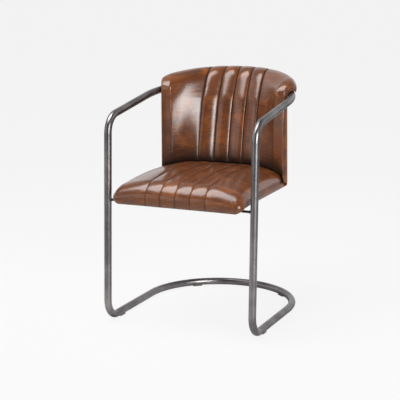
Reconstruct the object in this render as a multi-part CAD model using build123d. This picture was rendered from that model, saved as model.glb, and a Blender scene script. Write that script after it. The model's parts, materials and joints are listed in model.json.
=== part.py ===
"""Tubular steel cantilever dining chair with a ribbed leather seat and a wrap-round leather back.

One bent steel loop, made as two halves, runs from the floor up both legs, along both arms and round the back.
The seat rests on a thin rod between the legs. The back stands behind the seat and is bolted to the bow.
Millimetres, +Z up, +Y towards the rear. Depths are measured from the line between the feet of the legs and
the finished part is then moved so that its origin is on the floor under the middle of its outline.
"""
import os
from math import asin, cos, degrees, hypot, pi, radians, sin, sqrt, tan

from build123d import *

# Steel loop
TUBE_OD = 24.0
TUBE_WALL = 2.0
LEG_SPACING = 500.0
BEND_RADIUS = 60.0
LEG_RAKE = 1.9
RUNNER_LENGTH = 325.8
ARM_RISE = 652.5
ARM_SLOPE = 8.17
ARM_RUN = 279.5
SLEEVE_LENGTH = 90.0
SLEEVE_WALL = 2.0
SLEEVE_CLEARANCE = 0.1

# Floor glides under the loop
GLIDE_UNDER = 2.0
GLIDE_HUG = 4.0
GLIDE_LENGTH = 34.0
GLIDE_WIDTH = 16.0
GLIDE_STEM_D = 5.0
GLIDE_STEM_LENGTH = 7.0
GLIDE_FRONT_Y = 95.0
GLIDE_REAR_ANGLE = 40.0

# Cross rod between the legs, its welds and its clips
ROD_D = 8.0
ROD_HEIGHT = 405.0
WELD_D = 15.0
WELD_LENGTH = 6.0
CLIP_X = 130.0
CLIP_WIDTH = 18.0
CLIP_THICKNESS = 1.5
CLIP_EAR = 20.0
CLIP_CLEARANCE = 0.1

# Upholstery shared by the seat and the back
LEATHER = 2.0
SOFT_GAP = 0.3
FILL_GAP = 0.8
SEAM_PITCH = 50.5
CHANNELS = 4
CROWN = 5.0

# Seat
BOARD_THICKNESS = 12.0
NOSE_Y = -23.0
NOSE_DROP = 11.0
SHOULDER_Y = 41.0
SEAT_THICKNESS = 77.0
SEAT_PEAK_Y = 228.0
SEAT_TOP_RADIUS = 1600.0
SEAT_LEG_GAP = 20.0
SEAT_TAPER = 5.0
SEAT_CORNER_ROUND = 16.0
SEAT_EDGE_ROUND = 26.0
SEAT_EDGE_FALL = 40.0
SEAT_SIDE_FALL = 23.0
SIDE_FALL_POWER = 1.5
SEAT_EDGE_LIFT = 9.0
NOSE_HEEL = 12.0
NOSE_BALL_SHARE = 0.3
NOSE_TOE_SHARE = 0.15
NOSE_BROW_SHARE = 0.45
SHOULDER_BEND_DEPTH = 0.27
SHOULDER_BEND_HEIGHT = 0.6
TURN_IN = 27.0
RIM_STEPS = 5
PANEL_SWELL = ((0, 0), (0.2, 1), (0.5, 0.9), (0.78, 0.5), (0.9, 0.2), (1, 0))
STRIP_WORDS = ("inner_channel", "outer_channel", "side_panel")
DUST_COVER = 0.8
DUST_MARGIN = 12.0
HEM_LAP = 12.0
HEM_SAG = 0.85
BOARD_REAR_GAP = 2.0
BOARD_SIDE_GAP = 4.0
SEAT_REAR_ROOM = 4.0
SEARCH_STEPS = 40

# Back
FOOT_FRONT_Y = 410.0
WAIST_FRONT_Y = 428.0
WAIST_RISE = 101.0
SHOULDER_FRONT_Y = 452.0
SHOULDER_DROP = 20.2
FRONT_PLAN_DROP = 26.0
FOOT_REAR_Y = 458.0
SHOULDER_REAR_Y = 500.0
WING_CUT = 25.0
WING_REACH = 172.0
WING_NOSE = 14.0
WING_NOSE_ROUND = 10.0
WING_TUBE_GAP = 1.0
WING_THICKNESS = 44.0
WING_FOOT_LIFT = 14.0
BACK_SEAT_GAP = 1.0
BACK_BOARD = 10.0
TUBE_SEAT_GAP = 0.8
TUBE_HOLLOW_CLEARANCE = 2.5
REAR_PLAN_DROP = 15.0
NECK_BULGE = 3.0
WAIST_BULGE = 3.0
BOARD_OVER_TUBE = 10.0
WING_SWELL = ((0, 0), (0.2, 1), (0.4, 1), (0.6, 0.8), (0.8, 0.6), (1, 0.3), (2, 0))
WING_START = 2
WING_END = 3

# Rolled top of the back, radii and heights from the axis and the centre of the tube that it covers
ROLL_FRONT = -53.0
ROLL_FRONT_HEIGHT = 22.0
ROLL_TOP = -21.0
ROLL_TOP_HEIGHT = 53.5
ROLL_CROWN_SHARE = 0.4
ROLL_REAR = 12.0
ROLL_REAR_HEIGHT = 36.0
LIP = 20.0
LIP_HEIGHT = 20.0
LIP_END = 16.5
LIP_END_HEIGHT = 8.0

# Fixings
BOLT_D = 6.0
BOLT_HEAD_D = 11.0
BOLT_HEAD = 3.5
BOLT_HEAD_ROUND = 1.8
SOCKET_FLATS = 4.0
SOCKET_DEPTH = 2.0
BOLT_ANGLES = (-50.0, -17.0, 17.0, 50.0)
WASHER_D = 14.0
WASHER_UNDER = 1.0
INSERT_D = 10.0
BOLT_REACH = 8.0
SCREW_D = 4.0
SCREW_HEAD_D = 8.0
SCREW_HEAD = 2.4
RECESS_LENGTH = 4.4
RECESS_WIDTH = 1.0
RECESS_DEPTH = 1.4
SCREW_REACH = 8.0
BRACKET_X = 65.0
BRACKET_WIDTH = 36.0
BRACKET_THICKNESS = 3.0
BRACKET_LEG = 60.0
BRACKET_RISE = 130.0
BRACKET_LEG_SHARES = (0.7, 0.45)
BRACKET_RISE_SHARES = (0.7, 0.88)
POCKET_ROOM = 1.0
SCREW_TILT_GAP = 0.8

# Values worked out from the sizes above
TUBE_R = TUBE_OD / 2
BORE_R = TUBE_R - TUBE_WALL
BOW_R = LEG_SPACING / 2
BASE_Z = GLIDE_UNDER + TUBE_R
RAKE = radians(LEG_RAKE)
SLOPE = radians(ARM_SLOPE)
CORNER_Y = ARM_RISE * tan(RAKE)
CORNER_Z = BASE_Z + ARM_RISE
BOW_Y = CORNER_Y + ARM_RUN * cos(SLOPE)
BOW_Z = CORNER_Z + ARM_RUN * sin(SLOPE)
BASE_REAR = RUNNER_LENGTH + BOW_R + TUBE_R
SEAM_OUTER = SEAM_PITCH * CHANNELS / 2
ROD_Y = (ROD_HEIGHT - BASE_Z) * tan(RAKE)
BOARD_BOTTOM = ROD_HEIGHT + ROD_D / 2
BOARD_TOP = BOARD_BOTTOM + BOARD_THICKNESS
NOSE_BOTTOM = BOARD_BOTTOM - NOSE_DROP
SEAT_PEAK = BOARD_BOTTOM + SEAT_THICKNESS
SEAT_HALF_WIDTH = BOW_R - TUBE_R - SEAT_LEG_GAP
WAIST_HEIGHT = SEAT_PEAK + WAIST_RISE
SHOULDER_HEIGHT = BOW_Z - SHOULDER_DROP
WING_OUTER_RADIUS = BOW_R - TUBE_R - WING_TUBE_GAP
WING_INNER_RADIUS = WING_OUTER_RADIUS - WING_THICKNESS
BOARD_FRONT = NOSE_Y + TURN_IN + LEATHER + SOFT_GAP
FRONT_EDGE = NOSE_Y - CROWN
CENTRE_Y = (FRONT_EDGE + BASE_REAR) / 2
HOLLOW_R = TUBE_R + TUBE_HOLLOW_CLEARANCE
REAR_LAYERS = LEATHER + SOFT_GAP + BACK_BOARD + SOFT_GAP
CORNER_X = SEAT_HALF_WIDTH - SEAT_CORNER_ROUND
BOARD_HALF_WIDTH = CORNER_X - BOARD_SIDE_GAP
BACK_LEAN = (SHOULDER_REAR_Y - FOOT_REAR_Y) / (SHOULDER_HEIGHT - BOARD_BOTTOM)


def line(a, b):
    return Edge.make_line(a, b)


def arc(a, m, b):
    return Edge.make_three_point_arc(a, m, b)


def loft_wires(wires):
    return Solid.make_loft(wires, ruled=False)


def joined(solids):
    first, *others = solids
    return first.fuse(*others)


def save(name, *shapes):
    moved = [shape.moved(Location((0, -CENTRE_Y, 0))) for shape in shapes]
    solids = [solid for shape in moved for solid in shape.solids()]
    shape = solids[0] if len(solids) == 1 else Compound(children=solids)
    export_step(shape, f"parts/{name}.step")


# Steel loop

def bow_point(angle, radius=BOW_R, lift=0.0):
    """A point on the sloping bow, by its angle from the rear centre."""
    turn = radians(angle)
    return Vector(
        radius * sin(turn),
        BOW_Y + radius * cos(turn) * cos(SLOPE),
        BOW_Z + radius * cos(turn) * sin(SLOPE) + lift,
    )


def base_point(angle, radius=BOW_R):
    turn = radians(angle)
    return Vector(radius * sin(turn), RUNNER_LENGTH + radius * cos(turn), BASE_Z)


def half_loop_path(side):
    """Rear centre of the base, runner, leg, arm and bow to the rear centre of the back."""
    base_end = base_point(90 * side)
    bow_end = bow_point(90 * side)
    foot = Vector(side * BOW_R, 0, BASE_Z)
    corner = Vector(side * BOW_R, CORNER_Y, CORNER_Z)
    middle = FilletPolyline(base_end, foot, corner, bow_end, radius=BEND_RADIUS)
    base_arc = arc(base_point(0), base_point(45 * side), base_end)
    bow_arc = arc(bow_end, bow_point(45 * side), bow_point(0))
    return Wire([base_arc] + list(middle.edges()) + [bow_arc])


def round_along(path, radius):
    start = Plane(origin=path.position_at(0), z_dir=path.tangent_at(0))
    return sweep(start * Circle(radius), path=path)


def radial_cylinder(angle, radius, near, far):
    """A cylinder that points out from the bow's axis, square to the tube."""
    start = bow_point(angle, near)
    out = (bow_point(angle, far) - start).normalized()
    return Solid.make_cylinder(radius, far - near, Plane(origin=start, z_dir=out))


def glide_places():
    for side, word in ((-1, "left"), (1, "right")):
        yield f"glide_front_{word}", Vector(side * BOW_R, GLIDE_FRONT_Y, BASE_Z), 90.0
        rear = base_point(side * GLIDE_REAR_ANGLE)
        yield f"glide_rear_{word}", rear, -side * GLIDE_REAR_ANGLE


def glide_stem(place):
    foot = Vector(place.X, place.Y, GLIDE_UNDER / 2)
    return Solid.make_cylinder(GLIDE_STEM_D / 2, GLIDE_STEM_LENGTH, Plane(foot))


def make_loop():
    outers = {side: round_along(half_loop_path(side), TUBE_R) for side in (-1, 1)}
    for side, word in ((-1, "left"), (1, "right")):
        half = outers[side] - round_along(half_loop_path(side), BORE_R)
        for name, place, _ in glide_places():
            if name.endswith(word):
                half = half - glide_stem(place)
        for angle in BOLT_ANGLES:
            if angle * side > 0:
                half = half - radial_cylinder(angle, BOLT_D / 2, BOW_R - TUBE_OD, BOW_R + TUBE_OD)
        save(f"frame_tube_{word}", half)
    for name, place, turn in glide_places():
        block = Box(GLIDE_LENGTH, GLIDE_WIDTH, GLIDE_UNDER + GLIDE_HUG)
        block = fillet(block.edges().filter_by(Axis.Z), GLIDE_WIDTH / 3)
        block = Pos(place.X, place.Y, (GLIDE_UNDER + GLIDE_HUG) / 2) * Rot(0, 0, turn) * block
        side = 1 if name.endswith("right") else -1
        save(name, block - outers[side] + glide_stem(place))
    sleeve_r = BORE_R - SLEEVE_CLEARANCE
    half_turn = degrees(SLEEVE_LENGTH / 2 / BOW_R)
    for name, point in (("base_joint_sleeve", base_point), ("bow_joint_sleeve", bow_point)):
        path = Wire([arc(point(-half_turn), point(0), point(half_turn))])
        save(name, round_along(path, sleeve_r) - round_along(path, sleeve_r - SLEEVE_WALL))
    return outers


def make_rod():
    end = Plane(origin=(-BOW_R, ROD_Y, ROD_HEIGHT), z_dir=(1, 0, 0))
    rod = Solid.make_cylinder(ROD_D / 2, LEG_SPACING, end)
    reach = BOW_R - TUBE_R - WELD_LENGTH
    beads = [
        Solid.make_cone(ROD_D / 2, WELD_D / 2, WELD_LENGTH + TUBE_R / 2,
                        Plane(origin=(side * reach, ROD_Y, ROD_HEIGHT), z_dir=(side, 0, 0)))
        for side in (-1, 1)
    ]
    leg_up = (0, sin(RAKE), cos(RAKE))
    legs = [
        Solid.make_cylinder(TUBE_R, ARM_RISE, Plane(origin=(side * BOW_R, 0, BASE_Z), z_dir=leg_up))
        for side in (-1, 1)
    ]
    save("seat_cross_rod", joined([rod] + beads).cut(*legs))


# Plan of the upholstery

def plan_point(side, radius, angle):
    turn = radians(angle)
    return side * radius * sin(turn), BOW_Y + radius * cos(turn) * cos(SLOPE)


def station_plane(station):
    """Turn of a station's upright plane and its distance from the bow's axis.

    Stations 0 to 1 are across the channels, 1 to 2 across the wing and 2 to 3 round the wing's nose.
    """
    reach = abs(station)
    share = min(max(reach - 1, 0), 1)
    wing = WING_REACH - WING_NOSE
    distance = SEAM_OUTER * min(reach, 1) + (wing - SEAM_OUTER) * share + WING_NOSE * max(reach - 2, 0)
    return WING_CUT * share, distance


def station_angle(station, radius):
    turn, distance = station_plane(station)
    return turn + degrees(asin(distance / radius))


def spread(station, depth, wing_radius, drop, full=False):
    """Plan place of a point that is at depth on the centre line and at wing_radius on the wings.

    A full spread swells out early.
    """
    side = -1 if station < 0 else 1
    reach = abs(station)
    if reach <= 1:
        return side * reach * SEAM_OUTER, depth - drop * reach ** 2
    start = hypot(SEAM_OUTER, (depth - drop - BOW_Y) / cos(SLOPE))
    share = min(reach - 1, 1)
    if full:
        share = sin(share * pi / 2)
    radius = start + (wing_radius - start) * share
    return plan_point(side, radius, station_angle(station, radius))


def rounded(share):
    """Fall of a quarter round, from 0 where it starts to 1 at its end."""
    share = min(max(share, 0), 1)
    return 1 - sqrt(1 - share ** 2)


def nose_inset(station):
    """How far both faces of a wing draw in at its nose."""
    return WING_NOSE_ROUND * rounded(abs(station) - 2)


def rear_spread(station, depth, inset):
    """Plan place on the rear of the back, or on a layer inside it."""
    wing = WING_OUTER_RADIUS - inset - nose_inset(station)
    return spread(station, depth - inset, wing, REAR_PLAN_DROP, full=True)


def around(station, radius):
    """Plan place of a point that follows the bow at a radius of its own, with the tube's height there."""
    side = -1 if station < 0 else 1
    angle = station_angle(station, radius)
    x, y = plan_point(side, radius, angle)
    return x, y, bow_point(angle).Z


# Seat

def side_fall(x):
    """How far the seat's top lies below its middle at a distance from the centre line."""
    out = max(abs(x) - SEAM_OUTER, 0) / (SEAT_HALF_WIDTH - SEAM_OUTER)
    edge = (abs(x) - SEAT_HALF_WIDTH + SEAT_EDGE_ROUND) / SEAT_EDGE_ROUND
    return SEAT_SIDE_FALL * out ** SIDE_FALL_POWER + SEAT_EDGE_FALL * rounded(edge)


def seat_top(x, y):
    return SEAT_PEAK - (y - SEAT_PEAK_Y) ** 2 / (2 * SEAT_TOP_RADIUS) - side_fall(x)


def seat_rear(x):
    """Rear edge of the seat, which follows the inside of the back's board."""
    inset = REAR_LAYERS + SEAT_REAR_ROOM
    low, high = 0.0, float(WING_START)
    for _ in range(SEARCH_STEPS):
        middle = (low + high) / 2
        if rear_spread(middle, FOOT_REAR_Y, inset)[0] < abs(x):
            low = middle
        else:
            high = middle
    return rear_spread(low, FOOT_REAR_Y, inset)[1]


def edge_lift(x):
    """Rise of the seat's underside towards its side edges."""
    return SEAT_EDGE_LIFT * max(0, (x - CORNER_X) / SEAT_CORNER_ROUND)


def seat_outline(x, inset, crown):
    """Edges of the seat's cover in the upright plane at x, from under the nose to the foot of its rear."""
    corner = rounded((x - CORNER_X) / SEAT_CORNER_ROUND)
    front = NOSE_Y + SEAT_CORNER_ROUND * corner - crown + inset
    under = BOARD_BOTTOM - LEATHER + edge_lift(x) + inset
    bottom = NOSE_BOTTOM + (under - inset - NOSE_BOTTOM) * sqrt(corner) + inset
    rear = seat_rear(x) - inset

    def place(y, z):
        share = max(x - SEAM_OUTER, 0) / (SEAT_HALF_WIDTH - SEAM_OUTER)
        return Vector(x - SEAT_TAPER * share * y / FOOT_REAR_Y, y, z)

    def top(y):
        return place(y, seat_top(x, y) + crown - inset)

    shoulder = top(SHOULDER_Y + front - NOSE_Y)
    height = shoulder.Z - bottom
    turn_in = place(front + crown + TURN_IN, under)
    heel = place(front + NOSE_HEEL, bottom)
    toe = place(front, bottom + NOSE_TOE_SHARE * height)
    brow = place(front, bottom + NOSE_BROW_SHARE * height)
    ball = place(front + NOSE_HEEL * NOSE_BALL_SHARE, bottom + NOSE_TOE_SHARE * height * NOSE_BALL_SHARE)
    bend_y = brow.Y + SHOULDER_BEND_DEPTH * (shoulder.Y - brow.Y)
    bend = place(bend_y, brow.Z + SHOULDER_BEND_HEIGHT * (shoulder.Z - brow.Z))
    end = top(rear)
    foot = place(rear, BOARD_BOTTOM + edge_lift(x) + SOFT_GAP)
    edges = [
        line(turn_in, heel),
        arc(heel, ball, toe),
        line(toe, brow),
        arc(brow, bend, shoulder),
        arc(shoulder, top(SEAT_PEAK_Y), end),
        line(end, foot),
    ]
    return edges, turn_in, foot


def mirrored(solid):
    return solid.mirror(Plane.YZ)


def seat_ribbon(x, crown):
    outer, outer_start, outer_end = seat_outline(x, 0, crown)
    inner, inner_start, inner_end = seat_outline(x, LEATHER, crown)
    return Wire(outer + [line(outer_end, inner_end)] + inner[::-1] + [line(inner_start, outer_start)])


def seat_fill(x, crown):
    edges, start, end = seat_outline(x, LEATHER + FILL_GAP, crown)
    return Wire(edges + [line(end, start)])


def strip_places():
    """Each strip on the right, as pairs of distance and crown across it: two channels and the wide panel."""
    half = CHANNELS // 2
    for number in range(half):
        inner = number * SEAM_PITCH
        yield ((inner, 0), (inner + SEAM_PITCH / 2, CROWN), (inner + SEAM_PITCH, 0))
    width = SEAT_HALF_WIDTH - LEATHER - SEAM_OUTER
    yield tuple((SEAM_OUTER + width * share, CROWN * swell) for share, swell in PANEL_SWELL)


def seat_border(x):
    """Side of the seat's cover with its hem, which is turned under the edge of the board."""
    edges, start, end = seat_outline(x, 0, 0)
    side = Face(Wire(edges + [line(end, start)]))
    wall = Solid.extrude(side, side.normal_at() * (LEATHER if side.normal_at().X > 0 else -LEATHER))
    front = start.Y + SOFT_GAP
    rear = end.Y - LEATHER - SOFT_GAP
    hem = []
    for place in (BOARD_HALF_WIDTH - HEM_LAP, CORNER_X, x):
        low = BOARD_BOTTOM - LEATHER + edge_lift(place) * HEM_SAG
        taper = SEAT_TAPER * (place - SEAM_OUTER) / (SEAT_HALF_WIDTH - SEAM_OUTER) / FOOT_REAR_Y
        corners = [(front, low), (rear, low), (rear, low + LEATHER), (front, low + LEATHER)]
        hem.append(Wire.make_polygon([(place - taper * y, y, z) for y, z in corners], close=True))
    return wall.fuse(Solid.make_loft(hem, ruled=True))


def make_seat():
    fills = []
    for number, places in enumerate(strip_places()):
        strip = loft_wires([seat_ribbon(x, crown) for x, crown in places])
        fill = loft_wires([seat_fill(x, crown) for x, crown in places])
        fills += [fill, mirrored(fill)]
        word = STRIP_WORDS[number]
        save(f"seat_{word}_right", strip)
        save(f"seat_{word}_left", mirrored(strip))
    border = seat_border(SEAT_HALF_WIDTH - LEATHER)
    save("seat_border_right", border)
    save("seat_border_left", mirrored(border))
    return joined(fills)


def board_outline(half, front, rear_gap):
    """Plan of the board under the seat: straight front, tapering sides and a rear that follows the back."""
    rear_x = half - SEAT_TAPER
    places = [rear_x * share / RIM_STEPS for share in range(-RIM_STEPS, RIM_STEPS + 1)]
    rim = [(x, seat_rear(x) - LEATHER - rear_gap) for x in places]
    rear = Spline(*rim)
    sides = Polyline(rim[-1], (half, front), (-half, front), rim[0])
    return make_face(Wire(list(rear.edges()) + list(sides.edges())))


def screw(place, direction, grip):
    """A cross-recessed screw whose head seats at place and whose shank runs on for the grip and its reach."""
    seat = Plane(origin=place, z_dir=direction)
    shank = Solid.make_cylinder(SCREW_D / 2, grip + SCREW_REACH, seat)
    head_top = seat.offset(-SCREW_HEAD)
    head = Solid.make_cylinder(SCREW_HEAD_D / 2, SCREW_HEAD, head_top)
    cross = Rectangle(RECESS_LENGTH, RECESS_WIDTH) + Rectangle(RECESS_WIDTH, RECESS_LENGTH)
    return shank.fuse(head).cut(extrude(head_top * cross, RECESS_DEPTH))


def rod_clip(x):
    """A clip that carries the rod under the board, open at the top, with one ear to the rear."""
    inner = ROD_D / 2 + CLIP_CLEARANCE
    outer = inner + CLIP_THICKNESS
    rise = ROD_D / 2
    upright = (Align.CENTER, Align.MIN)
    bowl = Circle(outer) - Rectangle(2 * outer, outer, align=upright)
    body = Rectangle(2 * outer, rise, align=upright) + bowl
    body = body - Circle(inner) - Rectangle(2 * inner, rise, align=upright)
    ear = Rectangle(CLIP_THICKNESS + CLIP_EAR, CLIP_THICKNESS, align=Align.MIN)
    ear = Pos(inner, rise - CLIP_THICKNESS) * ear
    section = Plane(origin=(x, ROD_Y, ROD_HEIGHT), x_dir=(0, 1, 0), z_dir=(1, 0, 0)) * (body + ear)
    return extrude(section, CLIP_WIDTH / 2, both=True)


def bracket_outline(x, thickness, leg, rise):
    """Outline of the angle that ties the seat's board to the back's board, in the upright plane at x."""
    station = x / SEAM_OUTER
    heel = rear_spread(station, FOOT_REAR_Y, REAR_LAYERS)[1]
    high = heel + BACK_LEAN * rise
    low = BOARD_BOTTOM - thickness
    corners = [
        (heel, low), (heel, BOARD_BOTTOM),
        (high, BOARD_BOTTOM + rise), (high - thickness, BOARD_BOTTOM + rise),
        (heel - thickness, BOARD_BOTTOM), (heel - leg, BOARD_BOTTOM), (heel - leg, low),
    ]
    return Wire.make_polygon([(x, y, z) for y, z in corners], close=True)


def bracket(width, thickness, rise):
    places = [BRACKET_X + width * share for share in (-0.5, 0, 0.5)]
    return loft_wires([bracket_outline(x, thickness, BRACKET_LEG, rise) for x in places])


def bracket_screws():
    """Two screws up into the seat's board and two back into the back's board, on the right."""
    step = BRACKET_WIDTH / 4
    heel = rear_spread(BRACKET_X / SEAM_OUTER, FOOT_REAR_Y, REAR_LAYERS)[1]
    plan_slope = 2 * REAR_PLAN_DROP * BRACKET_X / SEAM_OUTER ** 2
    into_back = Vector(plan_slope, 1, -BACK_LEAN)
    made = []
    for side, share in zip((-1, 1), BRACKET_LEG_SHARES):
        under = (BRACKET_X + side * step, heel - BRACKET_LEG * share, BOARD_BOTTOM - BRACKET_THICKNESS)
        made.append(screw(under, (0, 0, 1), BRACKET_THICKNESS))
    for share in BRACKET_RISE_SHARES:
        rise = BRACKET_RISE * share
        seat_y = heel + BACK_LEAN * rise - BRACKET_THICKNESS - SCREW_TILT_GAP
        front = (BRACKET_X, seat_y, BOARD_BOTTOM + rise)
        made.append(screw(front, into_back, BRACKET_THICKNESS))
    return made


def make_seat_base(foam):
    clip_screw_y = ROD_Y + ROD_D / 2 + CLIP_CLEARANCE + CLIP_THICKNESS + CLIP_EAR / 2
    clip_screws = [
        screw((x, clip_screw_y, BOARD_BOTTOM - CLIP_THICKNESS), (0, 0, 1), CLIP_THICKNESS)
        for x in (-CLIP_X, CLIP_X)
    ]
    save("rod_clip_screws", *clip_screws)
    for x, word in ((-CLIP_X, "left"), (CLIP_X, "right")):
        save(f"rod_clip_{word}", rod_clip(x).cut(*clip_screws))
    screws = bracket_screws()
    screws += [mirrored(one) for one in screws]
    board_plan = board_outline(BOARD_HALF_WIDTH, BOARD_FRONT, BOARD_REAR_GAP)
    board = Pos(0, 0, BOARD_BOTTOM) * extrude(board_plan, BOARD_THICKNESS)
    save("seat_board", board.cut(*clip_screws, *screws))
    room_plan = board_outline(BOARD_HALF_WIDTH + FILL_GAP, BOARD_FRONT - FILL_GAP, -BOARD_REAR_GAP)
    room = Pos(0, 0, BOARD_BOTTOM) * extrude(room_plan, BOARD_THICKNESS + FILL_GAP)
    save("seat_foam", foam - room)
    front = clip_screw_y + CLIP_EAR
    rear = rear_spread(BRACKET_X / SEAM_OUTER, FOOT_REAR_Y, REAR_LAYERS)[1] - BRACKET_LEG - DUST_MARGIN
    width = 2 * (BOARD_HALF_WIDTH - HEM_LAP - DUST_MARGIN)
    sheet = Box(width, rear - front, DUST_COVER, align=(Align.CENTER, Align.MIN, Align.MAX))
    save("seat_dust_cover", Pos(0, front, BOARD_BOTTOM) * sheet)
    return screws


# Back

def back_outline(station, inset, crown):
    """Edges of the back's cover at a station, from its foot, over the roll and down to the tube."""
    push = inset - crown
    nose = nose_inset(station)
    side = -1 if station < 0 else 1
    turn = radians(station_plane(station)[0])

    def front(depth, height, wing_bulge=0.0):
        wing = WING_INNER_RADIUS - wing_bulge + push + nose
        x, y = spread(station, depth + push, wing, FRONT_PLAN_DROP)
        return Vector(x, y, height)

    def on_bow(offset, lift):
        x, y, tube = around(station, BOW_R + offset)
        return Vector(x, y, tube + lift)

    foot = front(FOOT_FRONT_Y, 0)
    foot.Z = seat_top(foot.X, foot.Y) + CROWN + BACK_SEAT_GAP + nose
    waist = front(WAIST_FRONT_Y, WAIST_HEIGHT, WAIST_BULGE)
    shoulder = front(SHOULDER_FRONT_Y, SHOULDER_HEIGHT)
    roll_front = on_bow(ROLL_FRONT + push + nose, ROLL_FRONT_HEIGHT)
    inward = Vector(-side * sin(turn), -cos(turn) * cos(SLOPE), 0)
    neck = (shoulder + roll_front) * 0.5 + inward * NECK_BULGE
    roll_top = on_bow(ROLL_TOP, ROLL_TOP_HEIGHT - inset + crown * ROLL_CROWN_SHARE - nose)
    slant = (push + nose) * sin(pi / 4)
    roll_rear = on_bow(ROLL_REAR - slant, ROLL_REAR_HEIGHT - slant)
    lip = on_bow(LIP - push - nose, LIP_HEIGHT)
    lip_end = on_bow(LIP_END - inset * sin(pi / 4), LIP_END_HEIGHT + inset)
    over_tube = on_bow(0, HOLLOW_R + inset)
    beside_tube = on_bow(-TUBE_R - TUBE_SEAT_GAP - inset, 0)
    edges = [
        arc(foot, waist, shoulder),
        arc(shoulder, neck, roll_front),
        arc(roll_front, roll_top, roll_rear),
        arc(roll_rear, lip, lip_end),
        arc(lip_end, over_tube, beside_tube),
    ]
    return edges, foot, beside_tube


def rear_outline(station, inset, top):
    """Corners of the back's rear face at a station, from its top edge down to the seat's underside."""
    x, y, tube = around(station, BOW_R - TUBE_R - TUBE_SEAT_GAP - inset)
    high = Vector(x, y, tube + top)
    middle = Vector(*rear_spread(station, SHOULDER_REAR_Y, inset), SHOULDER_HEIGHT)
    lift = WING_FOOT_LIFT * min(max(abs(station) - 1, 0), 1)
    low = Vector(*rear_spread(station, FOOT_REAR_Y, inset), BOARD_BOTTOM + lift)
    return high, middle, low


def back_ribbon(station, crown):
    outer, outer_start, outer_end = back_outline(station, 0, crown)
    inner, inner_start, inner_end = back_outline(station, LEATHER, crown)
    return Wire(outer + [line(outer_end, inner_end)] + inner[::-1] + [line(inner_start, outer_start)])


def rear_layer(station, inset, thickness, top):
    """A layer of the back's rear, such as its board or its outer cover, as a closed outline."""
    outside = rear_outline(station, inset, top)
    inside = rear_outline(station, inset + thickness, top)
    return Wire.make_polygon([*outside, *inside[::-1]], close=True)


def back_fill(station, crown):
    """Closed outline of the padding between cover and board, with the tube's hollow under the roll."""
    edges, foot, _ = back_outline(station, LEATHER + FILL_GAP, crown)
    high, middle, low = rear_outline(station, REAR_LAYERS + FILL_GAP, BOARD_OVER_TUBE + FILL_GAP)
    share = (foot.Z - low.Z) / (middle.Z - low.Z)
    heel = low + (middle - low) * share
    radius = HOLLOW_R + LEATHER + FILL_GAP
    rest = BOARD_OVER_TUBE + FILL_GAP
    x, y, tube = around(station, BOW_R - sqrt(radius ** 2 - rest ** 2))
    ledge = Vector(x, y, tube + rest)
    lip_end = edges[-1].position_at(0)
    x, y, tube = around(station, BOW_R)
    over = Vector(x, y, tube + radius)
    hollow = arc(lip_end, over, ledge)
    rear = [line(ledge, high), line(high, middle), line(middle, heel), line(heel, foot)]
    return Wire(edges[:-1] + [hollow] + rear)


def back_strips():
    """Stations and crowns across each strip on the right: two channels and the wide panel with its wing."""
    half = CHANNELS // 2
    for number in range(half):
        inner = number / half
        yield ((inner, 0), (inner + 0.5 / half, CROWN), (inner + 1 / half, 0))
    yield tuple((1 + share, CROWN * swell) for share, swell in WING_SWELL)


def rear_strips(inset, thickness, top, last):
    """A layer of the back's rear, lofted strip by strip at the same stations as its padding."""
    made = []
    for places in back_strips():
        stations = [station for station, _ in places if station <= last]
        strip = loft_wires([rear_layer(station, inset, thickness, top) for station in stations])
        made += [strip, mirrored(strip)]
    return joined(made)


def back_border():
    """Leather over the nose of the right wing, on the last station's plane."""
    edges, foot, beside = back_outline(WING_END, 0, 0)
    _, middle, low = rear_outline(WING_END, 0, 0)
    heel = low + (middle - low) * ((foot.Z - low.Z) / (middle.Z - low.Z))
    face = Face(Wire(edges + [line(beside, middle), line(middle, heel), line(heel, foot)]))
    outward = face.normal_at() if face.normal_at().Y < 0 else -face.normal_at()
    return Solid.extrude(face, outward * LEATHER)


def button_head(angle, seat):
    """A rounded bolt head with a hexagon socket, seated at a radius from the bow's axis."""
    top = bow_point(angle, seat + BOLT_HEAD)
    head = radial_cylinder(angle, BOLT_HEAD_D / 2, seat, seat + BOLT_HEAD)
    rim = min(head.edges().filter_by(GeomType.CIRCLE), key=lambda edge: (edge.arc_center - top).length)
    out = (top - bow_point(angle, seat)).normalized()
    socket = RegularPolygon(SOCKET_FLATS / 2, 6, major_radius=False)
    socket = extrude(Plane(origin=top, z_dir=out) * socket, -SOCKET_DEPTH)
    return head.fillet(BOLT_HEAD_ROUND, [rim]).cut(socket)


def bow_fixings():
    """Bolts with saddle washers outside the tube, in a ring along the bow."""
    head = BOW_R + TUBE_R + WASHER_UNDER
    board = BOW_R - TUBE_R - TUBE_SEAT_GAP - LEATHER - SOFT_GAP
    bolts, holes = [], []
    for angle in BOLT_ANGLES:
        shank = radial_cylinder(angle, BOLT_D / 2, board - BOLT_REACH, head)
        bolts.append(shank.fuse(button_head(angle, head)))
        holes.append(shank)
    return bolts, holes


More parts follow.
